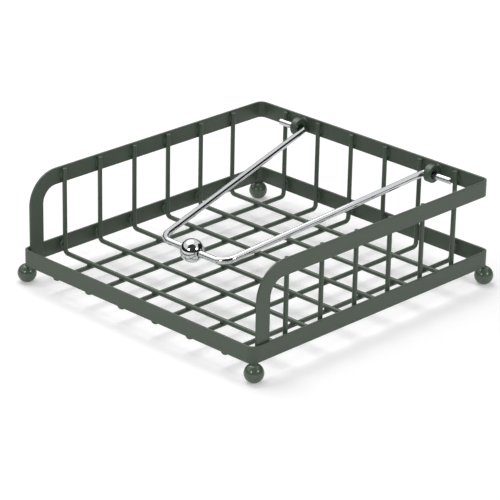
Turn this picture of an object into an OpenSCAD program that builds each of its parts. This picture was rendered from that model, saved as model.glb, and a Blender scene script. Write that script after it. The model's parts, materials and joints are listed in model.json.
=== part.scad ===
// Napkin holder: a low open tray of welded flat strip and wire on four ball feet,
// with a hinged wire arm whose ball weighs down what lies in the tray.
// Millimetres. +Z is up, the open front faces -Y, and the origin lies on the table
// under the middle of the tray.

/* [Base ring] */
// Outside width of the base ring, left to right
ring_w = 190; // [150:1:240]
// Outside depth of the base ring, front to back
ring_d = 201; // [170:1:250]
// Outside radius of the ring's corners
ring_corner_r = 4.5; // [3:0.5:12]

/* [Flat strip] */
// Width of the flat strip that the ring and the rail are bent from
strip_h = 10.2; // [7:0.1:14]
// Thickness of the flat strip
strip_t = 1.5; // [1.2:0.1:3]
// Radius of the strip's rounded edges
strip_edge_r = 0.4; // [0.2:0.05:0.5]

/* [Top rail] */
// Height of the rail's top edge above the table
rail_top_z = 66.4; // [58:0.1:100]
// Outside radius of the bends that turn the rail down into its front legs
leg_bend_r = 20; // [16:1:30]
// Outside radius of the rail's two back corners
rail_corner_r = 5; // [3:0.5:12]

/* [Wires] */
// Diameter of the floor and side wires
wire_d = 2.8; // [2:0.1:4]
// Bend radius of the floor and side wires, at the middle of the wire
wire_bend_r = 2.8; // [2.4:0.1:6]
// Distance of the uprights' ends below the rail's top edge
wire_top_inset = 1; // [0.5:0.1:3]
// Distance of the floor wires below the ring
floor_drop = 1.2; // [0:0.1:2]
// Height of the floor wires' front tips above the ring's lower edge
front_tip_h = 6; // [4:0.5:8]
// Distance from the side of the ring to the outermost floor wires
floor_wire_margin = 25.5; // [15:0.5:35]
// Distance from the front and back of the ring to the outermost side wires
side_wire_margin = 30; // [22:0.5:40]

/* [Ball feet] */
// Diameter of the ball feet
foot_d = 11.5; // [9:0.5:18]
// Diameter of the small flats on top of and under each foot
foot_flat_d = 2.4; // [1.6:0.2:5]
// Angle round the ring's corner, from the side of the tray, at which a foot sits
foot_turn = 30; // [20:1:70]

/* [Eyelets] */
// Outside diameter of the two eyelets that carry the arm
eyelet_d = 11; // [9.4:0.2:12]
// Length of an eyelet along the hinge line
eyelet_l = 4.6; // [3:0.2:9]
// Chamfer on the eyelets' edges
eyelet_chamfer = 0.4; // [0.2:0.1:0.8]
// Distance of the eyelets' middle below the rail's top edge
eyelet_drop = 5.6; // [5.5:0.1:9]
// Distance of an eyelet from halfway between its two uprights, towards the middle
eyelet_inset = 1; // [0:0.1:3]

/* [Arm] */
// Diameter of the arm's wire
arm_wire_d = 4; // [3:0.1:5]
// Length of the front bar between its two bends
front_bar_l = 36; // [24:0.2:50]
// Distance from the hinge line to the front bar
arm_reach = 147.7; // [110:0.1:160]
// Bend radius at the hinge, at the middle of the wire
arm_hinge_bend_r = 3; // [2.6:0.1:5]
// Bend radius of the two front corners, at the middle of the wire
arm_corner_bend_r = 9; // [5:0.5:14]
// Length of the arm's ends outside the eyelets
arm_tail = 13; // [6:0.5:18]
// Chamfer on the arm's ends
arm_tail_chamfer = 0.5; // [0.2:0.1:1]

/* [Arm ball] */
// Diameter of the ball on the front bar
ball_d = 14.2; // [10:0.1:18]
// Diameter of the short necks beside the ball
ball_neck_d = 5.4; // [5.2:0.1:8]
// Length of a neck outside the ball
ball_neck_l = 0.8; // [0.4:0.1:2]
// Height of the ball above the floor when the arm lies at rest
ball_lift = 16.2; // [2:0.1:40]

/* [Fits] */
// Gap at a welded seat, where a round wire or tube meets its neighbour
weld_gap = 0.05; // [0.02:0.01:0.1]
// Play of the arm's ends in the eyelets, all round
hinge_play = 0.8; // [0.3:0.05:1]
// Gap under the arm's ends where they lie in the eyelets
hinge_seat_gap = 0.1; // [0.05:0.01:0.2]
// Gap between the arm's bends and the eyelets, along the hinge line
hinge_end_gap = 0.3; // [0.2:0.05:0.6]
// Gap all round the front bar in the ball
ball_bore_gap = 0.02; // [0.01:0.01:0.05]
// Swelling of the arm's wire in its bends, all round
bend_swell = 0.01; // [0.01:0.005:0.03]
// Length by which the arm's straight stretches run on into the bends
bend_overlap = 0.2; // [0.1:0.05:0.2]

/* [Hidden] */
$fn = 72;

wire_count = 6;
frame_colour = [0.29, 0.33, 0.29];
chrome_colour = [0.80, 0.81, 0.82];

// Feet: each ball is cut flat above and below, and the ring stands on the upper flats
foot_h = 2 * sqrt(pow(foot_d / 2, 2) - pow(foot_flat_d / 2, 2));
ring_z = foot_h;
ring_mid_corner_r = ring_corner_r - strip_t / 2;
foot_x = ring_w / 2 - ring_corner_r + ring_mid_corner_r * cos(foot_turn);
foot_y = ring_d / 2 - ring_corner_r + ring_mid_corner_r * sin(foot_turn);

// Rail: its sides and its back stand just inside the ring's outline
rail_half_w = ring_w / 2 - strip_t;
rail_back_y = ring_d / 2 - strip_t;
rail_z = rail_top_z - strip_h;
leg_front_y = -ring_d / 2 + ring_corner_r;

// Wires: floor wires hang just below the ring, side wires lie across them, and the bent ends
// of both rise inside the strips
strip_to_wire = strip_t + weld_gap + wire_d / 2;
floor_front_y = strip_to_wire - ring_d / 2 + wire_bend_r;
floor_back_y = rail_back_y - strip_to_wire - wire_bend_r;
side_run_x = rail_half_w - strip_to_wire - wire_bend_r;
outer_floor_x = ring_w / 2 - floor_wire_margin;
outer_side_y = ring_d / 2 - side_wire_margin;
floor_wire_z = ring_z - floor_drop - wire_d / 2;
side_wire_z = floor_wire_z + wire_d + weld_gap;
floor_top_z = side_wire_z + wire_d / 2;
upright_top_z = rail_top_z - wire_top_inset;
front_tip_z = ring_z + front_tip_h;

// Eyelets: each between the two outermost back uprights of its side
floor_wire_pitch = 2 * outer_floor_x / (wire_count - 1);
eyelet_bore_d = arm_wire_d + 2 * hinge_play;
eyelet_x = outer_floor_x - floor_wire_pitch / 2 - eyelet_inset;
eyelet_y = rail_back_y - strip_t - weld_gap - eyelet_d / 2;
eyelet_z = rail_top_z - eyelet_drop;

// Arm: its ends lie on the bottom of the eyelets' bores, and each leg is the straight line
// that touches its hinge bend and its corner bend on opposite sides
hinge_z = eyelet_z - hinge_play + hinge_seat_gap;
tail_end_x = eyelet_x + eyelet_l / 2 + arm_tail;
hinge_bend_mid = [eyelet_x - eyelet_l / 2 - hinge_end_gap, arm_hinge_bend_r];
corner_bend_mid = [front_bar_l / 2, arm_reach - arm_corner_bend_r];
bend_way = hinge_bend_mid - corner_bend_mid;
bend_sum_r = arm_hinge_bend_r + arm_corner_bend_r;
arm_lean = atan2(bend_way.x, -bend_way.y) - asin(bend_sum_r / norm(bend_way));
arm_turn = 90 - arm_lean;
leg_start = hinge_bend_mid - arm_hinge_bend_r * [cos(arm_lean), sin(arm_lean)];
leg_length = sqrt(pow(norm(bend_way), 2) - pow(bend_sum_r, 2));
ball_z = floor_top_z + ball_lift + ball_d / 2;
arm_angle = asin((hinge_z - ball_z) / arm_reach);

// Strip: its section, and the straight and bent lengths made from it
module strip_section() {
    translate([strip_edge_r, 0])
        square([strip_t - 2 * strip_edge_r, strip_h]);
    translate([0, strip_edge_r])
        square([strip_t, strip_h - 2 * strip_edge_r]);
    for (x = [strip_edge_r, strip_t - strip_edge_r], y = [strip_edge_r, strip_h - strip_edge_r])
        translate([x, y])
            circle(r = strip_edge_r);
}

// A strip on edge along +Y, its inner face at x = 0
module straight_strip(length) {
    translate([0, length, 0])
        rotate([90, 0, 0])
            linear_extrude(height = length)
                strip_section();
}

// A strip on edge along -X, its inner face at y = 0
module cross_strip(length) {
    rotate([0, 0, 90])
        straight_strip(length);
}

// A quarter turn of a strip on edge, about the corner's own middle
module strip_corner(outside_r) {
    rotate_extrude(angle = 90)
        translate([outside_r - strip_t, 0])
            strip_section();
}

// A quarter turn in the plane of the strip, from level to upright
module strip_edge_bend(outside_r) {
    rotate([0, 90, 0])
        rotate([0, 0, 180])
            rotate_extrude(angle = 90)
                translate([outside_r, 0])
                    rotate(90)
                        strip_section();
}

// Both sides of the tray
module left_and_right() {
    children();
    mirror([1, 0, 0])
        children();
}

// Closed ring of flat strip on edge
module base_ring() {
    straight_w = ring_w - 2 * ring_corner_r;
    straight_d = ring_d - 2 * ring_corner_r;
    color(frame_colour)
        translate([0, 0, ring_z]) {
            left_and_right()
                translate([ring_w / 2 - strip_t, -straight_d / 2, 0])
                    straight_strip(straight_d);
            for (turn = [0, 180])
                rotate([0, 0, turn]) {
                    translate([straight_w / 2, ring_d / 2 - strip_t, 0])
                        cross_strip(straight_w);
                    left_and_right()
                        translate([straight_w / 2, straight_d / 2, 0])
                            strip_corner(ring_corner_r);
                }
        }
}

// One side of the rail: leg, bend, level run and back corner
module rail_side() {
    bend_y = leg_front_y + leg_bend_r;
    corner_y = rail_back_y - rail_corner_r;
    inner_x = rail_half_w - strip_t;
    translate([inner_x, leg_front_y, ring_z])
        linear_extrude(height = rail_top_z - leg_bend_r - ring_z)
            strip_section();
    translate([inner_x, bend_y, rail_top_z - leg_bend_r])
        strip_edge_bend(leg_bend_r);
    translate([inner_x, bend_y, rail_z])
        straight_strip(corner_y - bend_y);
    translate([rail_half_w - rail_corner_r, corner_y, rail_z])
        strip_corner(rail_corner_r);
}

// Rail round the sides and back, its front ends bent down into legs inside the ring
module top_rail() {
    back_w = 2 * (rail_half_w - rail_corner_r);
    color(frame_colour) {
        left_and_right()
            rail_side();
        translate([back_w / 2, rail_back_y - strip_t, rail_z])
            cross_strip(back_w);
    }
}

// Ball foot under a corner of the ring
module foot(side, end) {
    color(frame_colour)
        translate([side * foot_x, end * foot_y, 0])
            intersection() {
                translate([0, 0, foot_h / 2])
                    sphere(d = foot_d);
                cylinder(d = foot_d, h = foot_h);
            }
}

// Straight wire along +X from the middle of the wire's end
module wire_x(length) {
    rotate([0, 90, 0])
        cylinder(d = wire_d, h = length);
}

// Bent end of a wire: it starts along +X at the origin, turns upwards and stops at the given height
module wire_end(rise) {
    translate([0, 0, wire_bend_r])
        rotate([90, 0, 0])
            rotate([0, 0, -90])
                rotate_extrude(angle = 90)
                    translate([wire_bend_r, 0])
                        circle(d = wire_d);
    translate([wire_bend_r, 0, wire_bend_r])
        cylinder(d = wire_d, h = rise - wire_bend_r);
}

// Place of one of the evenly spaced wires between the two outermost ones
function wire_place(index, outermost) = outermost * (2 * index / (wire_count - 1) - 1);

// Floor wire: straight run from front to back
module floor_wire(index) {
    color(frame_colour)
        translate([wire_place(index, outer_floor_x), floor_front_y, floor_wire_z])
            rotate([0, 0, 90])
                wire_x(floor_back_y - floor_front_y);
}

// Front tip of a floor wire, bent up inside the ring
module floor_wire_front(index) {
    color(frame_colour)
        translate([wire_place(index, outer_floor_x), floor_front_y, floor_wire_z])
            rotate([0, 0, -90])
                wire_end(front_tip_z - floor_wire_z);
}

// Back upright of a floor wire, bent up inside the rail
module floor_wire_back(index) {
    color(frame_colour)
        translate([wire_place(index, outer_floor_x), floor_back_y, floor_wire_z])
            rotate([0, 0, 90])
                wire_end(upright_top_z - floor_wire_z);
}

// Side wire: straight run across the floor wires
module side_wire(index) {
    color(frame_colour)
        translate([-side_run_x, wire_place(index, outer_side_y), side_wire_z])
            wire_x(2 * side_run_x);
}

// Left or right upright of a side wire, bent up inside the rail
module side_wire_upright(index, turn) {
    color(frame_colour)
        translate([0, wire_place(index, outer_side_y), side_wire_z])
            rotate([0, 0, turn])
                translate([side_run_x, 0, 0])
                    wire_end(upright_top_z - side_wire_z);
}

// Eyelet on the inside of the back rail
module eyelet(side) {
    outer_r = eyelet_d / 2;
    bore_r = eyelet_bore_d / 2;
    half_l = eyelet_l / 2;
    chamfer_l = half_l - eyelet_chamfer;
    color(frame_colour)
        translate([side * eyelet_x, eyelet_y, eyelet_z])
            rotate([0, 90, 0])
                rotate_extrude()
                    polygon([
                        [bore_r, -chamfer_l],
                        [bore_r + eyelet_chamfer, -half_l],
                        [outer_r - eyelet_chamfer, -half_l],
                        [outer_r, -chamfer_l],
                        [outer_r, chamfer_l],
                        [outer_r - eyelet_chamfer, half_l],
                        [bore_r + eyelet_chamfer, half_l],
                        [bore_r, chamfer_l],
                    ]);
}

// The arm's own plane: x along the hinge line, y forwards from it
module in_arm_plane() {
    translate([0, eyelet_y, hinge_z])
        rotate([180 + arm_angle, 0, 0])
            children();
}

// Bend of the arm's wire, swept clockwise by the arm's turn from the given direction
module arm_bend(bend_r, from_angle) {
    rotate([0, 0, from_angle - arm_turn])
        rotate_extrude(angle = arm_turn)
            translate([bend_r, 0])
                circle(d = arm_wire_d + 2 * bend_swell);
}

// One side of the arm: end in the eyelet, hinge bend, leg and front corner
module arm_side() {
    end_start_x = hinge_bend_mid.x - bend_overlap;
    end_stop_x = tail_end_x - arm_tail_chamfer;
    translate([end_start_x, 0, 0])
        rotate([0, 90, 0])
            cylinder(d = arm_wire_d, h = end_stop_x - end_start_x);
    translate([end_stop_x, 0, 0])
        rotate([0, 90, 0])
            cylinder(d1 = arm_wire_d, d2 = arm_wire_d - 2 * arm_tail_chamfer, h = arm_tail_chamfer);
    translate(hinge_bend_mid)
        arm_bend(arm_hinge_bend_r, -90);
    translate(leg_start)
        rotate([0, 0, arm_lean])
            translate([0, -bend_overlap, 0])
                rotate([-90, 0, 0])
                    cylinder(d = arm_wire_d, h = leg_length + 2 * bend_overlap);
    translate(corner_bend_mid)
        arm_bend(arm_corner_bend_r, 90);
}

// Arm of one bent wire, hinged in the eyelets
module arm_wire() {
    bar_half_l = front_bar_l / 2 + bend_overlap;
    color(chrome_colour)
        in_arm_plane() {
            left_and_right()
                arm_side();
            translate([-bar_half_l, arm_reach, 0])
                rotate([0, 90, 0])
                    cylinder(d = arm_wire_d, h = 2 * bar_half_l);
        }
}

// Ball threaded on the middle of the front bar
module arm_ball() {
    neck_end = ball_d / 2 + ball_neck_l;
    bore_d = arm_wire_d + 2 * ball_bore_gap;
    color(chrome_colour)
        in_arm_plane()
            translate([0, arm_reach, 0])
                rotate([0, 90, 0])
                    difference() {
                        union() {
                            sphere(d = ball_d);
                            translate([0, 0, -neck_end])
                                cylinder(d = ball_neck_d, h = 2 * neck_end);
                        }
                        translate([0, 0, -ball_d])
                            cylinder(d = bore_d, h = 2 * ball_d);
                    }
}

base_ring();
top_rail();
foot(-1, -1);  // foot_front_left
foot(1, -1);  // foot_front_right
foot(-1, 1);  // foot_back_left
foot(1, 1);  // foot_back_right
for (index = [0 : wire_count - 1]) {
    floor_wire(index);
    floor_wire_front(index);
    floor_wire_back(index);
    side_wire(index);
    side_wire_upright(index, 180);
    side_wire_upright(index, 0);
}
eyelet(-1);  // eyelet_left
eyelet(1);  // eyelet_right
arm_wire();
arm_ball();
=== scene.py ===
import json
import math

import bpy
from mathutils import Matrix, Vector


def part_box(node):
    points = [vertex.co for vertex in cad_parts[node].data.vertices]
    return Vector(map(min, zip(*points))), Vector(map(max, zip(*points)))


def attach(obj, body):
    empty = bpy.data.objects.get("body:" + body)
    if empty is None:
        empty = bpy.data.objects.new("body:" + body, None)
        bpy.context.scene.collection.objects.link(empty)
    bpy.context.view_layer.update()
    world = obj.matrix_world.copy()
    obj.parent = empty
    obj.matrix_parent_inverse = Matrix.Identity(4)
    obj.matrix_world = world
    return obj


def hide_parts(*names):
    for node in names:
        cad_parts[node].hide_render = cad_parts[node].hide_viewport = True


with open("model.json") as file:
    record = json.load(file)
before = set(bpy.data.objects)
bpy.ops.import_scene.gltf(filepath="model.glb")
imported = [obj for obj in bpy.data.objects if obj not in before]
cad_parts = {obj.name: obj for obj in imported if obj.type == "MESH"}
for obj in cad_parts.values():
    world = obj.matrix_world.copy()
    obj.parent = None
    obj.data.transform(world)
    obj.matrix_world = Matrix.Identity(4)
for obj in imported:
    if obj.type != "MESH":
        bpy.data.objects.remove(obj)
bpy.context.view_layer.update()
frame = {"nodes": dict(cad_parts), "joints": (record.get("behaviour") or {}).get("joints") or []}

bl_info = {
    "name": "Napkin Holder Dressing",
    "version": (1, 0, 0),
    "blender": (4, 5, 0),
    "location": "View3D > Sidebar > Holder",
    "description": "Dresses a wire napkin holder with paint, chrome and welds, and sets its studio",
    "category": "Object",
}

# Places taken from the solids, in metres
HINGE = Vector(frame["joints"][0]["pos_m"])
RING_LOW, RING_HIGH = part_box("base_ring")
RAIL_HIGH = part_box("top_rail")[1]
BALL_LOW, BALL_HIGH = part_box("arm_ball")
ARM_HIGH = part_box("arm_wire")[1]
EYELET_LOW, EYELET_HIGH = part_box("eyelet_right")
BALL_MID = (BALL_LOW + BALL_HIGH) / 2
STRIP = RING_HIGH.x - RAIL_HIGH.x
STRIP_WIDTH = RING_HIGH.z - RING_LOW.z
RING_MID_Z = (RING_LOW.z + RING_HIGH.z) / 2
RAIL_MID_Z = RAIL_HIGH.z - STRIP_WIDTH / 2
UP = Vector((0.0, 0.0, 1.0))
SIDEWAYS = Vector((1.0, 0.0, 0.0))
FORWARDS = (BALL_MID - HINGE).normalized()
TURN_AXIS = SIDEWAYS.cross(FORWARDS)

STRIPS = ("base_ring", "top_rail")
FEET = ("foot_front_left", "foot_front_right", "foot_back_left", "foot_back_right")
FLOOR_WIRES = tuple(f"floor_wire_{i}" for i in range(1, 7))
FLOOR_TIPS = tuple(f"{wire}_front" for wire in FLOOR_WIRES)
BACK_UPRIGHTS = tuple(f"{wire}_back" for wire in FLOOR_WIRES)
SIDE_WIRES = tuple(f"side_wire_{i}" for i in range(1, 7))
SIDE_UPRIGHTS = tuple(f"{wire}_{side}" for wire in SIDE_WIRES for side in ("left", "right"))
WIRES = FLOOR_WIRES + FLOOR_TIPS + BACK_UPRIGHTS + SIDE_WIRES + SIDE_UPRIGHTS
EYELETS = ("eyelet_left", "eyelet_right")

# Modelling values, in metres and in steps
SAME_PLACE = 0.000001
ARM_TOLERANCE = 0.0002
HINGE_STEPS = 20
CORNER_STEPS = 28
NECK_ROUNDING = 0.0002
BORE_MARGIN = 0.00005
WELD_SINK = 0.0001
WELD_SINK_SHARE = 0.9

# Welds of an eyelet, as shares of its radius and length, and how far behind it they start
EYELET_WELD_WIDTH_SHARE = 0.9
EYELET_WELD_LENGTH_SHARE = 1.1
EYELET_WELD_HEIGHT_SHARE = 0.22
EYELET_WELD_PLACE_SHARE = 0.42
EYELET_WELD_BACK = 0.00004

# Which part of each noise is spread over its effect
CLOUD_SPAN = (0.35, 0.65)
CLOUD_ROUGHNESS_SPAN = (0.3, 0.7)
SPECK_SPAN = (0.56, 0.74)
SMEAR_SPAN = (0.4, 0.7)
SMEAR_ROUGHNESS_SPAN = (0.4, 0.72)
UNIT_SPAN = (0.0, 1.0)

# Paint and plating details
PEEL_SCALE = 420.0
GRAIN_SHARE = 0.6
SPECK_SHARE = 0.35
SPECK_TONE = 1.35
SMEAR_TONE = 0.95
SMEAR_ROUGHNESS = 0.06
HAIRLINE_RELIEF = 0.04
HAIRLINE_HEIGHT = 0.000004

# Sockets of a colour mix node
MIX_FACTOR, MIX_FIRST, MIX_SECOND, MIX_RESULT = 0, 6, 7, 2

# The studio: distances in metres, the camera's sensor in millimetres
WHITE = (1.0, 1.0, 1.0, 1.0)
FLOOR_SIZE = 8.0
FLOOR_FADE_SPAN = (0.4, 2.5)
LAMP_AIM = Vector((0.0, 0.0, 0.03))
CARD_SIDES = 96
SENSOR_WIDTH = 36.0


class HolderFinish(bpy.types.PropertyGroup):
    """Colours and surface of the paint and the chrome"""

    paint_colour: bpy.props.FloatVectorProperty(
        name="Paint", description="Grey-green of the powder coat",
        subtype="COLOR", size=4, min=0.0, max=1.0, default=(0.061, 0.086, 0.060, 1.0))
    paint_shade: bpy.props.FloatVectorProperty(
        name="Paint shade", description="Deeper tone where the coat is thick",
        subtype="COLOR", size=4, min=0.0, max=1.0, default=(0.052, 0.075, 0.051, 1.0))
    paint_roughness: bpy.props.FloatProperty(
        name="Paint roughness", description="Roughness of the satin coat",
        subtype="FACTOR", min=0.0, max=1.0, default=0.42)
    grain_scale: bpy.props.FloatProperty(
        name="Grain scale", description="Fineness of the coat's grain, in waves per metre",
        min=100.0, max=6000.0, default=1500.0)
    grain_height: bpy.props.FloatProperty(
        name="Grain height", description="Height of the coat's grain",
        subtype="DISTANCE", unit="LENGTH", min=0.0, max=0.001, default=0.00003, precision=6)
    chrome_colour: bpy.props.FloatVectorProperty(
        name="Chrome", description="Colour of the plating",
        subtype="COLOR", size=4, min=0.0, max=1.0, default=(0.62, 0.63, 0.64, 1.0))
    chrome_roughness: bpy.props.FloatProperty(
        name="Chrome roughness", description="Roughness of the plating",
        subtype="FACTOR", min=0.0, max=1.0, default=0.05)


class HolderArm(bpy.types.PropertyGroup):
    """Sizes of the bent wire arm"""

    wire_radius: bpy.props.FloatProperty(
        name="Wire radius", description="Half the thickness of the arm's wire",
        subtype="DISTANCE", unit="LENGTH", min=0.001, max=0.004, default=0.002, precision=5)
    hinge_bend: bpy.props.FloatProperty(
        name="Hinge bend", description="Bend radius beside the eyelets",
        subtype="DISTANCE", unit="LENGTH", min=0.0025, max=0.006, default=0.003, precision=5)
    corner_bend: bpy.props.FloatProperty(
        name="Corner bend", description="Bend radius of the front corners",
        subtype="DISTANCE", unit="LENGTH", min=0.005, max=0.014, default=0.009, precision=5)
    front_bar: bpy.props.FloatProperty(
        name="Front bar", description="Length of the front bar between its bends",
        subtype="DISTANCE", unit="LENGTH", min=0.02, max=0.05, default=0.036, precision=5)
    end_gap: bpy.props.FloatProperty(
        name="End gap", description="Gap between a hinge bend and its eyelet",
        subtype="DISTANCE", unit="LENGTH", min=0.0002, max=0.001, default=0.0003, precision=5)
    end_chamfer: bpy.props.FloatProperty(
        name="End chamfer", description="Chamfer on the arm's ends",
        subtype="DISTANCE", unit="LENGTH", min=0.0002, max=0.001, default=0.0005, precision=5)
    neck_radius: bpy.props.FloatProperty(
        name="Neck radius", description="Radius of the short necks beside the ball",
        subtype="DISTANCE", unit="LENGTH", min=0.0024, max=0.004, default=0.0027, precision=5)
    sides: bpy.props.IntProperty(
        name="Sides", description="Number of faces round the wire",
        min=16, max=96, default=48)


class HolderWelds(bpy.types.PropertyGroup):
    """Sizes of the small welds"""

    bead_width: bpy.props.FloatProperty(
        name="Bead width", description="Width of a weld where a wire meets a strip",
        subtype="DISTANCE", unit="LENGTH", min=0.002, max=0.006, default=0.0038, precision=5)
    bead_length: bpy.props.FloatProperty(
        name="Bead length", description="Length of a weld along the wire",
        subtype="DISTANCE", unit="LENGTH", min=0.002, max=0.01, default=0.0066, precision=5)
    bead_height: bpy.props.FloatProperty(
        name="Bead height", description="How far a weld rises from the strip",
        subtype="DISTANCE", unit="LENGTH", min=0.0003, max=0.002, default=0.0008, precision=5)
    bridge_length: bpy.props.FloatProperty(
        name="Bridge length", description="Length of a weld that bridges from an upright to the ring",
        subtype="DISTANCE", unit="LENGTH", min=0.002, max=0.008, default=0.005, precision=5)
    bridge_height: bpy.props.FloatProperty(
        name="Bridge height", description="How far a bridging weld reaches from the ring",
        subtype="DISTANCE", unit="LENGTH", min=0.001, max=0.003, default=0.0021, precision=5)
    seam_width: bpy.props.FloatProperty(
        name="Seam width", description="Width of a weld along a leg's edge or under a corner",
        subtype="DISTANCE", unit="LENGTH", min=0.001, max=0.004, default=0.0024, precision=5)
    seam_length: bpy.props.FloatProperty(
        name="Seam length", description="Length of a weld along a leg's edge",
        subtype="DISTANCE", unit="LENGTH", min=0.003, max=0.009, default=0.008, precision=5)
    seam_height: bpy.props.FloatProperty(
        name="Seam height", description="How far a weld along a leg's edge rises from the ring",
        subtype="DISTANCE", unit="LENGTH", min=0.0005, max=0.002, default=0.0013, precision=5)
    collar_length: bpy.props.FloatProperty(
        name="Collar length", description="Length of a weld between a foot and the ring's corner",
        subtype="DISTANCE", unit="LENGTH", min=0.002, max=0.008, default=0.0046, precision=5)
    collar_height: bpy.props.FloatProperty(
        name="Collar height", description="Half the height of a weld between a foot and the ring",
        subtype="DISTANCE", unit="LENGTH", min=0.0004, max=0.002, default=0.0009, precision=5)
    corner_radius: bpy.props.FloatProperty(
        name="Corner radius", description="Outside radius of the ring's corners",
        subtype="DISTANCE", unit="LENGTH", min=0.003, max=0.012, default=0.0045, precision=5)
    crossing_width: bpy.props.FloatProperty(
        name="Crossing width", description="Width of a weld where two wires cross",
        subtype="DISTANCE", unit="LENGTH", min=0.001, max=0.004, default=0.0025, precision=5)
    crossing_height: bpy.props.FloatProperty(
        name="Crossing height", description="Height of a weld where two wires cross",
        subtype="DISTANCE", unit="LENGTH", min=0.0003, max=0.002, default=0.0009, precision=5)


class HolderStage(bpy.types.PropertyGroup):
    """Camera, floor, lamps and sky"""

    azimuth: bpy.props.FloatProperty(
        name="Azimuth", description="Camera's turn from the front towards the right, in degrees",
        min=-180.0, max=180.0, default=43.9432)
    elevation: bpy.props.FloatProperty(
        name="Elevation", description="Camera's height above the horizon, in degrees",
        min=0.0, max=90.0, default=22.9568)
    roll: bpy.props.FloatProperty(
        name="Roll", description="Camera's tilt to its side, in degrees",
        min=-10.0, max=10.0, default=1.2134)
    place: bpy.props.FloatVectorProperty(
        name="Place", description="Where the camera stands",
        subtype="TRANSLATION", unit="LENGTH", size=3, default=(0.956759, -0.998447, 0.606561), precision=5)
    lens: bpy.props.FloatProperty(
        name="Lens", description="Focal length on a 36 mm sensor, in millimetres",
        min=20.0, max=400.0, default=183.0098)
    floor_colour: bpy.props.FloatVectorProperty(
        name="Floor", description="Colour of the floor",
        subtype="COLOR", size=4, min=0.0, max=1.0, default=(0.80, 0.80, 0.80, 1.0))
    floor_glow: bpy.props.FloatProperty(
        name="Floor glow", description="White that the floor adds in view and in reflections",
        min=0.0, max=1.0, default=0.26)
    far_glow: bpy.props.FloatProperty(
        name="Far glow", description="White that the floor adds far from the holder, where the lamps fade",
        min=0.0, max=1.0, default=0.72)
    top_power: bpy.props.FloatProperty(
        name="Top lamp", description="Power of the overhead lamp",
        subtype="POWER", unit="POWER", min=0.0, max=500.0, default=12.0)
    left_power: bpy.props.FloatProperty(
        name="Left lamp", description="Power of the lamp left of the camera",
        subtype="POWER", unit="POWER", min=0.0, max=500.0, default=3.0)
    right_power: bpy.props.FloatProperty(
        name="Right lamp", description="Power of the lamp right of the camera",
        subtype="POWER", unit="POWER", min=0.0, max=500.0, default=3.0)
    sky: bpy.props.FloatProperty(
        name="Sky", description="Strength of the even light from all round",
        min=0.0, max=2.0, default=0.32)


class HolderSettings(bpy.types.PropertyGroup):
    """All settings of the napkin holder"""

    finish: bpy.props.PointerProperty(type=HolderFinish)
    arm: bpy.props.PointerProperty(type=HolderArm)
    welds: bpy.props.PointerProperty(type=HolderWelds)
    stage: bpy.props.PointerProperty(type=HolderStage)


# Modelling helpers

def deselect_all():
    """Leaves nothing selected, in object mode"""
    if bpy.context.object and bpy.context.object.mode != "OBJECT":
        bpy.ops.object.mode_set(mode="OBJECT")
    bpy.ops.object.select_all(action="DESELECT")


def choose(piece):
    """Selects one piece alone and makes it the active one"""
    deselect_all()
    piece.select_set(True)
    bpy.context.view_layer.objects.active = piece


def settle(piece):
    """Puts the object's place and turn into its mesh"""
    choose(piece)
    bpy.ops.object.transform_apply(location=True, rotation=True, scale=True)


def edit(piece, mode="VERT"):
    """Opens a piece in edit mode with nothing selected"""
    choose(piece)
    bpy.ops.object.mode_set(mode="EDIT")
    bpy.ops.mesh.select_mode(type=mode)
    bpy.ops.mesh.select_all(action="DESELECT")


def close_edit(smooth_angle=None):
    """Leaves edit mode, and smooths the faces that meet at less than the angle"""
    bpy.ops.object.mode_set(mode="OBJECT")
    if smooth_angle is not None:
        bpy.ops.object.shade_smooth_by_angle(angle=math.radians(smooth_angle))


def pick(piece, test):
    """Selects the vertices of a piece in edit mode whose place passes the test"""
    bpy.ops.object.mode_set(mode="OBJECT")
    for vertex in piece.data.vertices:
        vertex.select = test(vertex.co)
    for edge in piece.data.edges:
        edge.select = all(piece.data.vertices[i].select for i in edge.vertices)
    for face in piece.data.polygons:
        face.select = all(piece.data.vertices[i].select for i in face.vertices)
    bpy.ops.object.mode_set(mode="EDIT")


def push(way):
    """Extrudes what is selected along a way"""
    bpy.ops.mesh.extrude_region_move(TRANSFORM_OT_translate={"value": tuple(way)})


def swing(middle, axis, angle, steps):
    """Sweeps what is selected round an axis, right-handed"""
    bpy.ops.mesh.spin(steps=steps, angle=-angle, center=tuple(middle), axis=tuple(axis))


def shrink(middle, share):
    """Scales what is selected towards a point"""
    bpy.ops.transform.resize(value=(share, share, share), center_override=tuple(middle))


def join(pieces, name):
    """Joins pieces into one under a name"""
    deselect_all()
    for piece in pieces:
        piece.select_set(True)
    bpy.context.view_layer.objects.active = pieces[0]
    if len(pieces) > 1:
        bpy.ops.object.join()
    piece = bpy.context.view_layer.objects.active
    piece.name = name
    piece.data.name = name
    return piece


def copies(pattern, places):
    """Copies of a pattern, each with its own mesh and its place in it"""
    made = []
    for place in places:
        choose(pattern)
        bpy.ops.object.duplicate(linked=False)
        copy = bpy.context.view_layer.objects.active
        copy.matrix_world = place
        settle(copy)
        made.append(copy)
    return made


def discard(piece):
    """Removes a pattern that was only copied"""
    mesh = piece.data
    bpy.data.objects.remove(piece)
    bpy.data.meshes.remove(mesh)


def dome(name, width, length, height, sink):
    """A low weld dome on the plane z = 0, width along X and length along Y, its foot sunk below the plane"""
    deselect_all()
    bpy.ops.mesh.primitive_uv_sphere_add(segments=24, ring_count=16, radius=1.0)
    piece = bpy.context.object
    piece.name = name
    piece.scale = (width / 2, length / 2, height)
    settle(piece)
    edit(piece)
    bpy.ops.mesh.select_all(action="SELECT")
    bpy.ops.mesh.bisect(plane_co=(0, 0, -sink), plane_no=(0, 0, 1), use_fill=True, clear_inner=True)
    bpy.ops.mesh.select_all(action="SELECT")
    bpy.ops.mesh.normals_make_consistent(inside=False)
    close_edit(smooth_angle=60)
    return piece


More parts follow.
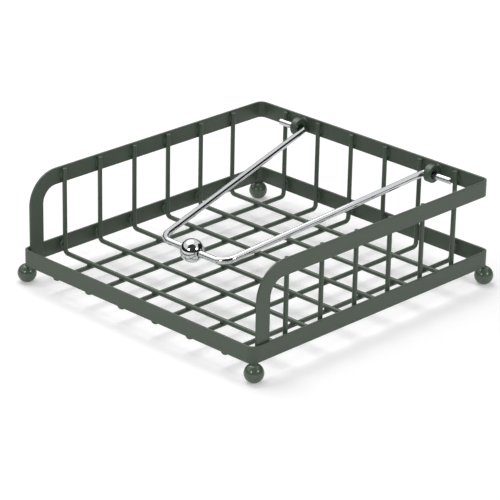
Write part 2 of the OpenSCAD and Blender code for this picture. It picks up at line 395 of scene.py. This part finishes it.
def facing(origin, normal, along):
    """Place of a pattern whose z points along the normal and whose y runs along the given way"""
    z = Vector(normal).normalized()
    y = Vector(along).normalized()
    x = y.cross(z)
    return Matrix((
        (x.x, y.x, z.x, origin[0]), (x.y, y.y, z.y, origin[1]),
        (x.z, y.z, z.z, origin[2]), (0, 0, 0, 1)))


def mid(node):
    """Middle of a node's box"""
    low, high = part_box(node)
    return (low + high) / 2


# Materials

def new_group(name, inputs, outputs):
    """An empty shader node group with its sockets"""
    group = bpy.data.node_groups.new(name, "ShaderNodeTree")
    for title, kind, value in inputs:
        socket = group.interface.new_socket(name=title, in_out="INPUT", socket_type=kind)
        socket.default_value = value
    for title, kind in outputs:
        group.interface.new_socket(name=title, in_out="OUTPUT", socket_type=kind)
    return group, group.nodes.new("NodeGroupInput"), group.nodes.new("NodeGroupOutput")


def noise(tree, vector, scale, detail, roughness=0.5):
    """A noise texture on the given coordinates"""
    node = tree.nodes.new("ShaderNodeTexNoise")
    node.inputs["Detail"].default_value = detail
    node.inputs["Roughness"].default_value = roughness
    tree.links.new(vector, node.inputs["Vector"])
    if isinstance(scale, (int, float)):
        node.inputs["Scale"].default_value = scale
    else:
        tree.links.new(scale, node.inputs["Scale"])
    return node.outputs["Fac"]


def remap(tree, value, span, result=UNIT_SPAN):
    """Maps a value from one span to another, whose ends may be sockets"""
    node = tree.nodes.new("ShaderNodeMapRange")
    tree.links.new(value, node.inputs["Value"])
    node.inputs["From Min"].default_value, node.inputs["From Max"].default_value = span
    for socket, bound in zip(("To Min", "To Max"), result):
        if isinstance(bound, (int, float)):
            node.inputs[socket].default_value = bound
        else:
            tree.links.new(bound, node.inputs[socket])
    return node.outputs["Result"]


def combine(tree, operation, first, second):
    """One value from two, by a math operation"""
    node = tree.nodes.new("ShaderNodeMath")
    node.operation = operation
    tree.links.new(first, node.inputs[0])
    tree.links.new(second, node.inputs[1])
    return node.outputs["Value"]


def powder_grain_group():
    """Fine pebbled grain and slow cloudiness of a powder coat"""
    found = bpy.data.node_groups.get("powder grain")
    if found:
        return found
    group, source, sink = new_group(
        "powder grain",
        [("Vector", "NodeSocketVector", (0.0, 0.0, 0.0)), ("Grain Scale", "NodeSocketFloat", 1500.0),
         ("Cloud Scale", "NodeSocketFloat", 30.0), ("Roughness Low", "NodeSocketFloat", 0.36),
         ("Roughness High", "NodeSocketFloat", 0.48)],
        [("Cloud", "NodeSocketFloat"), ("Speck", "NodeSocketFloat"), ("Roughness", "NodeSocketFloat"),
         ("Height", "NodeSocketFloat")])
    vector = source.outputs["Vector"]
    cloud = noise(group, vector, source.outputs["Cloud Scale"], 3.0)
    grain = noise(group, vector, source.outputs["Grain Scale"], 2.0, 0.45)
    peel = noise(group, vector, PEEL_SCALE, 1.0)
    height = group.nodes.new("ShaderNodeMath")
    height.operation = "MULTIPLY_ADD"
    height.inputs[1].default_value = GRAIN_SHARE
    group.links.new(grain, height.inputs[0])
    group.links.new(peel, height.inputs[2])
    group.links.new(remap(group, cloud, CLOUD_SPAN), sink.inputs["Cloud"])
    group.links.new(remap(group, grain, SPECK_SPAN), sink.inputs["Speck"])
    limits = (source.outputs["Roughness Low"], source.outputs["Roughness High"])
    rough = remap(group, cloud, CLOUD_ROUGHNESS_SPAN, limits)
    group.links.new(rough, sink.inputs["Roughness"])
    group.links.new(height.outputs["Value"], sink.inputs["Height"])
    return group


def handling_group():
    """Faint smears and hairlines on polished plating"""
    found = bpy.data.node_groups.get("handling marks")
    if found:
        return found
    group, source, sink = new_group(
        "handling marks",
        [("Vector", "NodeSocketVector", (0.0, 0.0, 0.0)), ("Smear Scale", "NodeSocketFloat", 60.0),
         ("Hairline Scale", "NodeSocketFloat", 900.0), ("Roughness Low", "NodeSocketFloat", 0.03),
         ("Roughness High", "NodeSocketFloat", 0.1)],
        [("Smear", "NodeSocketFloat"), ("Roughness", "NodeSocketFloat"), ("Height", "NodeSocketFloat")])
    vector = source.outputs["Vector"]
    smear = noise(group, vector, source.outputs["Smear Scale"], 4.0, 0.6)
    hairline = noise(group, vector, source.outputs["Hairline Scale"], 2.0)
    group.links.new(remap(group, smear, SMEAR_SPAN), sink.inputs["Smear"])
    limits = (source.outputs["Roughness Low"], source.outputs["Roughness High"])
    rough = remap(group, smear, SMEAR_ROUGHNESS_SPAN, limits)
    group.links.new(rough, sink.inputs["Roughness"])
    group.links.new(hairline, sink.inputs["Height"])
    return group


def blank_material(name):
    """A node material with its shader, coordinates and output"""
    material = bpy.data.materials.new(name)
    material.use_nodes = True
    tree = material.node_tree
    tree.nodes.clear()
    shader = tree.nodes.new("ShaderNodeBsdfPrincipled")
    output = tree.nodes.new("ShaderNodeOutputMaterial")
    place = tree.nodes.new("ShaderNodeTexCoord")
    tree.links.new(shader.outputs["BSDF"], output.inputs["Surface"])
    return material, tree, shader, place.outputs["Object"]


def matt_material(name, colour):
    """A plain matt material, with its shader and its output"""
    material = bpy.data.materials.new(name)
    material.use_nodes = True
    tree = material.node_tree
    tree.nodes.clear()
    output = tree.nodes.new("ShaderNodeOutputMaterial")
    matt = tree.nodes.new("ShaderNodeBsdfDiffuse")
    matt.inputs["Color"].default_value = tuple(colour)
    tree.links.new(matt.outputs["BSDF"], output.inputs["Surface"])
    return material, matt, output


def seen_rays(tree):
    """1 for the rays of the camera, of reflections and of glass, and 0 for all others"""
    path = tree.nodes.new("ShaderNodeLightPath")
    seen = combine(tree, "MAXIMUM", path.outputs["Is Camera Ray"], path.outputs["Is Glossy Ray"])
    return combine(tree, "MAXIMUM", seen, path.outputs["Is Transmission Ray"])


def tone_mix(tree, factor, first, second):
    """A colour between two colours"""
    node = tree.nodes.new("ShaderNodeMix")
    node.data_type = "RGBA"
    tree.links.new(factor, node.inputs[MIX_FACTOR])
    for socket, colour in ((MIX_FIRST, first), (MIX_SECOND, second)):
        if isinstance(colour, bpy.types.NodeSocket):
            tree.links.new(colour, node.inputs[socket])
        else:
            node.inputs[socket].default_value = tuple(colour)
    return node.outputs[MIX_RESULT]


def lighter(colour, share):
    """A colour made lighter or darker"""
    return tuple(min(1.0, channel * share) for channel in colour[:3]) + (1.0,)


def paint(name, finish, tone=1.0, roughness=0.0, cloud=30.0, spread=0.06, relief=0.35):
    """Satin powder coat"""
    found = bpy.data.materials.get(name)
    if found:
        return found
    material, tree, shader, place = blank_material(name)
    grain = tree.nodes.new("ShaderNodeGroup")
    grain.node_tree = powder_grain_group()
    grain.inputs["Grain Scale"].default_value = finish.grain_scale
    grain.inputs["Cloud Scale"].default_value = cloud
    grain.inputs["Roughness Low"].default_value = finish.paint_roughness + roughness - spread
    grain.inputs["Roughness High"].default_value = finish.paint_roughness + roughness + spread
    tree.links.new(place, grain.inputs["Vector"])
    shade, light = lighter(finish.paint_shade, tone), lighter(finish.paint_colour, tone)
    base = tone_mix(tree, grain.outputs["Cloud"], shade, light)
    speck = remap(tree, grain.outputs["Speck"], UNIT_SPAN, (0.0, SPECK_SHARE))
    colour = tone_mix(tree, speck, base, lighter(finish.paint_colour, tone * SPECK_TONE))
    bump = tree.nodes.new("ShaderNodeBump")
    bump.inputs["Strength"].default_value = relief
    bump.inputs["Distance"].default_value = finish.grain_height
    tree.links.new(grain.outputs["Height"], bump.inputs["Height"])
    tree.links.new(colour, shader.inputs["Base Color"])
    tree.links.new(grain.outputs["Roughness"], shader.inputs["Roughness"])
    tree.links.new(bump.outputs["Normal"], shader.inputs["Normal"])
    shader.inputs["Specular IOR Level"].default_value = 0.5
    return material


def weld_paint(finish):
    """Powder coat on the welds"""
    return paint("weld_paint", finish, tone=0.97, roughness=-0.06, cloud=160.0)


def chrome(name, finish, smear=60.0):
    """Polished plating"""
    found = bpy.data.materials.get(name)
    if found:
        return found
    material, tree, shader, place = blank_material(name)
    marks = tree.nodes.new("ShaderNodeGroup")
    marks.node_tree = handling_group()
    marks.inputs["Smear Scale"].default_value = smear
    marks.inputs["Roughness Low"].default_value = finish.chrome_roughness
    marks.inputs["Roughness High"].default_value = finish.chrome_roughness + SMEAR_ROUGHNESS
    tree.links.new(place, marks.inputs["Vector"])
    dull = lighter(finish.chrome_colour, SMEAR_TONE)
    colour = tone_mix(tree, marks.outputs["Smear"], finish.chrome_colour, dull)
    bump = tree.nodes.new("ShaderNodeBump")
    bump.inputs["Strength"].default_value = HAIRLINE_RELIEF
    bump.inputs["Distance"].default_value = HAIRLINE_HEIGHT
    tree.links.new(marks.outputs["Height"], bump.inputs["Height"])
    tree.links.new(colour, shader.inputs["Base Color"])
    tree.links.new(marks.outputs["Roughness"], shader.inputs["Roughness"])
    tree.links.new(bump.outputs["Normal"], shader.inputs["Normal"])
    shader.inputs["Metallic"].default_value = 1.0
    return material


def coat(piece, material):
    """Gives a piece or a node one material"""
    if not piece.material_slots:
        piece.data.materials.append(material)
    for slot in piece.material_slots:
        slot.material = material


def finish_piece(piece, body, material):
    """Last steps of every new piece"""
    coat(piece, material)
    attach(piece, body)


# Operators

class HOLDER_OT_paint_frame(bpy.types.Operator):
    """Powder coats the strips, wires, feet and eyelets"""

    bl_idname = "holder.paint_frame"
    bl_label = "Paint the frame"

    def execute(self, context):
        finish = context.scene.holder.finish
        strip_paint = paint("strip_paint", finish)
        wire_paint = paint("wire_paint", finish, tone=0.97, cloud=45.0)
        # The feet's lighter tone (1.3) is painted light: a lighter copy of the frame's paint that makes up
        # for the shade under the ring's corners.
        lightened_foot_paint = paint(
            "lightened_foot_paint", finish, tone=1.3, roughness=-0.23, cloud=70.0, spread=0.005, relief=0.1)
        eyelet_paint = paint("eyelet_paint", finish, tone=0.95, roughness=-0.06, cloud=90.0)
        groups = ((STRIPS, strip_paint), (WIRES, wire_paint), (FEET, lightened_foot_paint), (EYELETS, eyelet_paint))
        for nodes, material in groups:
            for node in nodes:
                coat(frame["nodes"][node], material)
        return {"FINISHED"}


class HOLDER_OT_arm(bpy.types.Operator):
    """Bends the arm from one round wire: tail, hinge bend, leg, corner, front bar and back again"""

    bl_idname = "holder.arm"
    bl_label = "Bend the arm"

    def execute(self, context):
        size = context.scene.holder.arm
        reach = (BALL_MID - HINGE).length
        tail = ARM_HIGH.x
        hook = EYELET_LOW.x - size.end_gap
        half_bar = size.front_bar / 2
        way = Vector((hook - half_bar, reach - size.corner_bend - size.hinge_bend))
        lean = math.atan2(way.x, way.y) - math.asin((size.hinge_bend + size.corner_bend) / way.length)
        turn = math.pi / 2 - lean
        leg = math.sqrt(way.length ** 2 - (size.hinge_bend + size.corner_bend) ** 2)

        def at(across, forward):
            return HINGE + SIDEWAYS * across + FORWARDS * forward

        def leg_way(side):
            return (FORWARDS * math.cos(lean) + SIDEWAYS * math.sin(lean) * side) * leg

        deselect_all()
        bpy.ops.mesh.primitive_circle_add(
            vertices=size.sides, radius=size.wire_radius - size.end_chamfer, fill_type="NOTHING",
            location=at(-tail, 0), rotation=(0, math.pi / 2, 0))
        piece = bpy.context.object
        piece.name = "chrome_arm"
        settle(piece)
        edit(piece)
        bpy.ops.mesh.select_all(action="SELECT")
        bpy.ops.mesh.edge_face_add()
        bpy.ops.mesh.select_all(action="SELECT")
        push(SIDEWAYS * size.end_chamfer)
        shrink(at(-tail + size.end_chamfer, 0), size.wire_radius / (size.wire_radius - size.end_chamfer))
        push(SIDEWAYS * (tail - size.end_chamfer - hook))
        swing(at(-hook, size.hinge_bend), TURN_AXIS, turn, HINGE_STEPS)
        push(leg_way(1))
        swing(at(-half_bar, reach - size.corner_bend), TURN_AXIS, -turn, CORNER_STEPS)
        push(SIDEWAYS * size.front_bar)
        swing(at(half_bar, reach - size.corner_bend), TURN_AXIS, -turn, CORNER_STEPS)
        push(-leg_way(-1))
        swing(at(hook, size.hinge_bend), TURN_AXIS, turn, HINGE_STEPS)
        push(SIDEWAYS * (tail - size.end_chamfer - hook))
        push(SIDEWAYS * size.end_chamfer)
        shrink(at(tail, 0), (size.wire_radius - size.end_chamfer) / size.wire_radius)
        bpy.ops.mesh.select_all(action="SELECT")
        bpy.ops.mesh.remove_doubles(threshold=SAME_PLACE)
        bpy.ops.mesh.normals_make_consistent(inside=False)
        close_edit(smooth_angle=30)
        reached = max(vertex.co.x for vertex in piece.data.vertices)
        if abs(reached - tail) > ARM_TOLERANCE:
            raise RuntimeError(f"the arm ends at {reached:.4f} and not at {tail:.4f}")
        finish_piece(piece, "arm", chrome("arm_chrome", context.scene.holder.finish))
        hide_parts("arm_wire")
        return {"FINISHED"}


class HOLDER_OT_ball(bpy.types.Operator):
    """Turns the ball with its two necks and its bore"""

    bl_idname = "holder.ball"
    bl_label = "Turn the ball"

    def execute(self, context):
        size = context.scene.holder.arm
        radius = (BALL_HIGH.z - BALL_LOW.z) / 2
        half_length = (BALL_HIGH.x - BALL_LOW.x) / 2
        seat = math.sqrt(radius ** 2 - size.neck_radius ** 2)
        rounded = size.neck_radius - NECK_ROUNDING
        deselect_all()
        bpy.ops.mesh.primitive_uv_sphere_add(
            segments=96, ring_count=64, radius=radius, location=BALL_MID, rotation=(0, math.pi / 2, 0))
        piece = bpy.context.object
        piece.name = "chrome_ball"
        settle(piece)
        edit(piece)
        for side in (-1, 1):
            end = BALL_MID + SIDEWAYS * side * seat
            bpy.ops.mesh.select_all(action="SELECT")
            bpy.ops.mesh.bisect(plane_co=tuple(end), plane_no=(side, 0, 0), clear_outer=True)
            bpy.ops.mesh.select_all(action="DESELECT")
            pick(piece, lambda co: abs(co.x - end.x) < SAME_PLACE)
            push(SIDEWAYS * side * (half_length - seat - NECK_ROUNDING))
            push(SIDEWAYS * side * NECK_ROUNDING)
            tip = BALL_MID + SIDEWAYS * side * half_length
            shrink(tip, rounded / size.neck_radius)
            push((0, 0, 0))
            shrink(tip, size.wire_radius / rounded)
        bore = size.wire_radius + BORE_MARGIN
        pick(piece, lambda co: (co - BALL_MID - SIDEWAYS * (co.x - BALL_MID.x)).length < bore)
        bpy.ops.mesh.select_mode(type="EDGE")
        bpy.ops.mesh.bridge_edge_loops()
        bpy.ops.mesh.select_all(action="SELECT")
        bpy.ops.mesh.normals_make_consistent(inside=False)
        close_edit(smooth_angle=40)
        finish_piece(piece, "arm", chrome("ball_chrome", context.scene.holder.finish, smear=90.0))
        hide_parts("arm_ball")
        return {"FINISHED"}


class HOLDER_OT_upright_welds(bpy.types.Operator):
    """Welds the wires' upright ends to the rail and the ring"""

    bl_idname = "holder.upright_welds"
    bl_label = "Weld the uprights"

    def execute(self, context):
        size = context.scene.holder.welds
        bead = dome("bead", size.bead_width, size.bead_length, size.bead_height, WELD_SINK)
        bridge = dome("bridge", size.bead_width, size.bridge_length, size.bridge_height, WELD_SINK)
        rail_places, ring_places, tip_places = [], [], []
        for node in SIDE_UPRIGHTS:
            y = mid(node).y
            side = math.copysign(1.0, mid(node).x)
            inwards = (-side, 0, 0)
            rail_places.append(facing((side * (RAIL_HIGH.x - STRIP), y, RAIL_MID_Z), inwards, UP))
            ring_places.append(facing((side * (RING_HIGH.x - STRIP), y, RING_MID_Z), inwards, UP))
        for node in BACK_UPRIGHTS:
            x = mid(node).x
            rail_places.append(facing((x, RAIL_HIGH.y - STRIP, RAIL_MID_Z), (0, -1, 0), UP))
            ring_places.append(facing((x, RING_HIGH.y - STRIP, RING_MID_Z), (0, -1, 0), UP))
        for node in FLOOR_TIPS:
            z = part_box(node)[1].z - size.bead_length / 2
            tip_places.append(facing((mid(node).x, RING_LOW.y + STRIP, z), (0, 1, 0), UP))
        material = weld_paint(context.scene.holder.finish)
        groups = (("rail_welds", bead, rail_places), ("ring_welds", bridge, ring_places),
                  ("tip_welds", bead, tip_places))
        for name, pattern, places in groups:
            finish_piece(join(copies(pattern, places), name), "frame", material)
        discard(bead)
        discard(bridge)
        return {"FINISHED"}


class HOLDER_OT_corner_welds(bpy.types.Operator):
    """Welds the legs inside the ring and the feet under its corners"""

    bl_idname = "holder.corner_welds"
    bl_label = "Weld the corners"

    def execute(self, context):
        size = context.scene.holder.welds
        sink = size.collar_height * WELD_SINK_SHARE
        seam = dome("seam", size.seam_width, size.seam_length, size.seam_height, WELD_SINK)
        collar = dome("collar", size.seam_width, size.collar_length, size.collar_height, sink)
        leg_front = RING_LOW.y + size.corner_radius
        leg_back = leg_front + STRIP_WIDTH
        seam_places = []
        for side in (-1, 1):
            for y in (leg_front, leg_back):
                seam_places.append(facing((side * (RING_HIGH.x - STRIP), y, RING_MID_Z), (-side, 0, 0), UP))
        collar_places = []
        for node in FEET:
            foot = mid(node)
            corner_x = math.copysign(RING_HIGH.x - size.corner_radius, foot.x)
            corner_y = math.copysign(RING_HIGH.y - size.corner_radius, foot.y)
            along = Vector((corner_y - foot.y, foot.x - corner_x, 0))
            collar_places.append(facing((foot.x, foot.y, RING_LOW.z), UP, along))
        material = weld_paint(context.scene.holder.finish)
        groups = (("leg_welds", seam, seam_places), ("foot_welds", collar, collar_places))
        for name, pattern, places in groups:
            finish_piece(join(copies(pattern, places), name), "frame", material)
        discard(seam)
        discard(collar)
        return {"FINISHED"}


class HOLDER_OT_floor_welds(bpy.types.Operator):
    """Welds the side wires to the floor wires where they cross"""

    bl_idname = "holder.floor_welds"
    bl_label = "Weld the floor"

    def execute(self, context):
        size = context.scene.holder.welds
        low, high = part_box(FLOOR_WIRES[0])
        wire = high.x - low.x
        level = low.z + wire
        sink = size.crossing_height * WELD_SINK_SHARE
        bead = dome("crossing", size.crossing_width, size.crossing_width, size.crossing_height, sink)
        places = []
        for floor in FLOOR_WIRES:
            for side in SIDE_WIRES:
                places.append(Matrix.Translation((mid(floor).x, mid(side).y, level)))
        material = weld_paint(context.scene.holder.finish)
        finish_piece(join(copies(bead, places), "floor_welds"), "frame", material)
        discard(bead)
        return {"FINISHED"}


class HOLDER_OT_eyelet_welds(bpy.types.Operator):
    """Welds the eyelets to the back rail, above and below where they touch it"""

    bl_idname = "holder.eyelet_welds"
    bl_label = "Weld the eyelets"

    def execute(self, context):
        length = EYELET_HIGH.x - EYELET_LOW.x
        radius = (EYELET_HIGH.z - EYELET_LOW.z) / 2
        bead = dome("fillet", radius * EYELET_WELD_WIDTH_SHARE, length * EYELET_WELD_LENGTH_SHARE,
                    radius * EYELET_WELD_HEIGHT_SHARE, WELD_SINK)
        y = EYELET_HIGH.y + EYELET_WELD_BACK
        places = []
        for node in EYELETS:
            middle = mid(node)
            for side in (-1, 1):
                z = middle.z + side * radius * EYELET_WELD_PLACE_SHARE
                places.append(facing((middle.x, y, z), (0, -1, 0), SIDEWAYS))
        material = weld_paint(context.scene.holder.finish)
        finish_piece(join(copies(bead, places), "eyelet_welds"), "frame", material)
        discard(bead)
        return {"FINISHED"}


class HOLDER_OT_stage(bpy.types.Operator):
    """Sets the floor, the lamps, the cards, the sky and the camera"""

    bl_idname = "holder.stage"
    bl_label = "Set the stage"

    def floor(self, settings):
        """A pale matt floor that adds a little white in view and in reflections"""
        deselect_all()
        bpy.ops.mesh.primitive_plane_add(size=FLOOR_SIZE, location=(0, 0, 0))
        piece = bpy.context.object
        piece.name = "floor"
        edit(piece)
        bpy.ops.mesh.select_all(action="SELECT")
        bpy.ops.mesh.subdivide(number_cuts=3)
        close_edit()
        material, matt, output = matt_material("floor_white", settings.floor_colour)
        tree = material.node_tree
        glow = tree.nodes.new("ShaderNodeEmission")
        place = tree.nodes.new("ShaderNodeTexCoord")
        distance = tree.nodes.new("ShaderNodeVectorMath")
        distance.operation = "LENGTH"
        tree.links.new(place.outputs["Object"], distance.inputs[0])
        levels = (settings.floor_glow, settings.far_glow)
        white = remap(tree, distance.outputs["Value"], FLOOR_FADE_SPAN, levels)
        tree.links.new(combine(tree, "MULTIPLY", seen_rays(tree), white), glow.inputs["Strength"])
        both = tree.nodes.new("ShaderNodeAddShader")
        tree.links.new(matt.outputs["BSDF"], both.inputs[0])
        tree.links.new(glow.outputs["Emission"], both.inputs[1])
        tree.links.new(both.outputs["Shader"], output.inputs["Surface"])
        coat(piece, material)

    def away(self, azimuth, elevation):
        """The way from the holder towards a place round it, in degrees from the front and the floor"""
        turn, rise = math.radians(azimuth), math.radians(elevation)
        return Vector((math.sin(turn) * math.cos(rise), -math.cos(turn) * math.cos(rise), math.sin(rise)))

    def lamp(self, name, azimuth, elevation, distance, size, power):
        """A round soft lamp that faces the holder"""
        away = self.away(azimuth, elevation)
        deselect_all()
        bpy.ops.object.light_add(type="AREA", location=LAMP_AIM + away * distance)
        lamp = bpy.context.object
        lamp.name = name
        lamp.rotation_euler = away.to_track_quat("Z", "Y").to_euler()
        lamp.data.shape = "DISK"
        lamp.data.size = size
        lamp.data.energy = power

    def card(self, name, azimuth, elevation, distance, radius, colour):
        """A round studio card that faces the holder, shows only in reflections and throws no shadow"""
        away = self.away(azimuth, elevation)
        deselect_all()
        bpy.ops.mesh.primitive_circle_add(
            vertices=CARD_SIDES, radius=radius, fill_type="NGON", location=LAMP_AIM + away * distance,
            rotation=away.to_track_quat("Z", "Y").to_euler())
        self.hang(name, colour)

    def wall(self, name, radius, height, colour):
        """A low studio wall all round, which shows only in reflections and throws no shadow"""
        deselect_all()
        bpy.ops.mesh.primitive_cylinder_add(
            vertices=CARD_SIDES, radius=radius, depth=height, end_fill_type="NOTHING",
            location=(0, 0, height / 2))
        self.hang(name, colour)

    def hang(self, name, colour):
        piece = bpy.context.object
        piece.name = name
        settle(piece)
        material, _, _ = matt_material(name, (colour, colour, colour, 1.0))
        coat(piece, material)
        piece.visible_camera = False
        piece.visible_diffuse = False
        piece.visible_transmission = False
        piece.visible_shadow = False

    def sky(self, settings):
        """Even light from all round, and white in view and in reflections"""
        world = bpy.data.worlds.new("studio")
        bpy.context.scene.world = world
        world.use_nodes = True
        tree = world.node_tree
        tree.nodes.clear()
        output = tree.nodes.new("ShaderNodeOutputWorld")
        even = tree.nodes.new("ShaderNodeBackground")
        even.inputs["Color"].default_value = WHITE
        even.inputs["Strength"].default_value = settings.sky
        white = tree.nodes.new("ShaderNodeBackground")
        white.inputs["Color"].default_value = WHITE
        both = tree.nodes.new("ShaderNodeMixShader")
        tree.links.new(seen_rays(tree), both.inputs[0])
        tree.links.new(even.outputs["Background"], both.inputs[1])
        tree.links.new(white.outputs["Background"], both.inputs[2])
        tree.links.new(both.outputs["Shader"], output.inputs["Surface"])

    def camera(self, settings):
        """The camera where the photograph was taken from"""
        turn, roll = math.radians(settings.azimuth), math.radians(settings.roll)
        back = self.away(settings.azimuth, settings.elevation)
        right = Vector((math.cos(turn), math.sin(turn), 0))
        up = back.cross(right)
        cosine, sine = math.cos(roll), math.sin(roll)
        right, up = right * cosine + up * sine, up * cosine - right * sine
        deselect_all()
        bpy.ops.object.camera_add()
        camera = bpy.context.object
        camera.name = "camera"
        place = settings.place
        camera.matrix_world = Matrix((
            (right.x, up.x, back.x, place[0]), (right.y, up.y, back.y, place[1]),
            (right.z, up.z, back.z, place[2]), (0, 0, 0, 1)))
        camera.data.sensor_width = SENSOR_WIDTH
        camera.data.lens = settings.lens
        bpy.context.scene.camera = camera

    def execute(self, context):
        settings = context.scene.holder.stage
        context.scene.view_settings.view_transform = "Standard"
        self.floor(settings)
        self.lamp("top_lamp", azimuth=-98.0, elevation=66.0, distance=1.3, size=1.2,
                  power=settings.top_power)
        self.lamp("left_lamp", azimuth=12.0, elevation=27.0, distance=1.2, size=0.34,
                  power=settings.left_power)
        self.lamp("right_lamp", azimuth=94.0, elevation=30.0, distance=1.2, size=0.34,
                  power=settings.right_power)
        # The two cards and the wall are painted dark reflections: dark sheets that show only in the chrome
        # and the paint's sheen, and neither block nor bounce light.
        self.card("front_card", azimuth=settings.azimuth, elevation=42.0, distance=1.6, radius=1.35,
                  colour=0.1)
        self.card("back_card", azimuth=147.0, elevation=16.0, distance=1.7, radius=0.95, colour=0.03)
        self.wall("low_wall", radius=2.4, height=0.95, colour=0.03)
        self.sky(settings)
        self.camera(settings)
        return {"FINISHED"}


class HOLDER_PT_panel(bpy.types.Panel):
    """Steps and settings of the napkin holder"""

    bl_idname = "HOLDER_PT_panel"
    bl_label = "Napkin Holder"
    bl_space_type = "VIEW_3D"
    bl_region_type = "UI"
    bl_category = "Holder"

    def draw(self, context):
        for step in STEPS:
            self.layout.operator(step.bl_idname)
        holder = context.scene.holder
        for group in (holder.finish, holder.arm, holder.welds, holder.stage):
            box = self.layout.box()
            for name in group.__annotations__:
                box.prop(group, name)


STEPS = (HOLDER_OT_paint_frame, HOLDER_OT_arm, HOLDER_OT_ball, HOLDER_OT_upright_welds,
         HOLDER_OT_corner_welds, HOLDER_OT_floor_welds, HOLDER_OT_eyelet_welds, HOLDER_OT_stage)
CLASSES = (HolderFinish, HolderArm, HolderWelds, HolderStage, HolderSettings) + STEPS + (HOLDER_PT_panel,)


def register():
    for cls in CLASSES:
        bpy.utils.register_class(cls)
    bpy.types.Scene.holder = bpy.props.PointerProperty(type=HolderSettings)


def unregister():
    del bpy.types.Scene.holder
    for cls in reversed(CLASSES):
        bpy.utils.unregister_class(cls)


def main():
    register()
    bpy.ops.holder.paint_frame()
    bpy.ops.holder.arm()
    bpy.ops.holder.ball()
    bpy.ops.holder.upright_welds()
    bpy.ops.holder.corner_welds()
    bpy.ops.holder.floor_welds()
    bpy.ops.holder.eyelet_welds()
    bpy.ops.holder.stage()


if __name__ == "__main__":
    main()
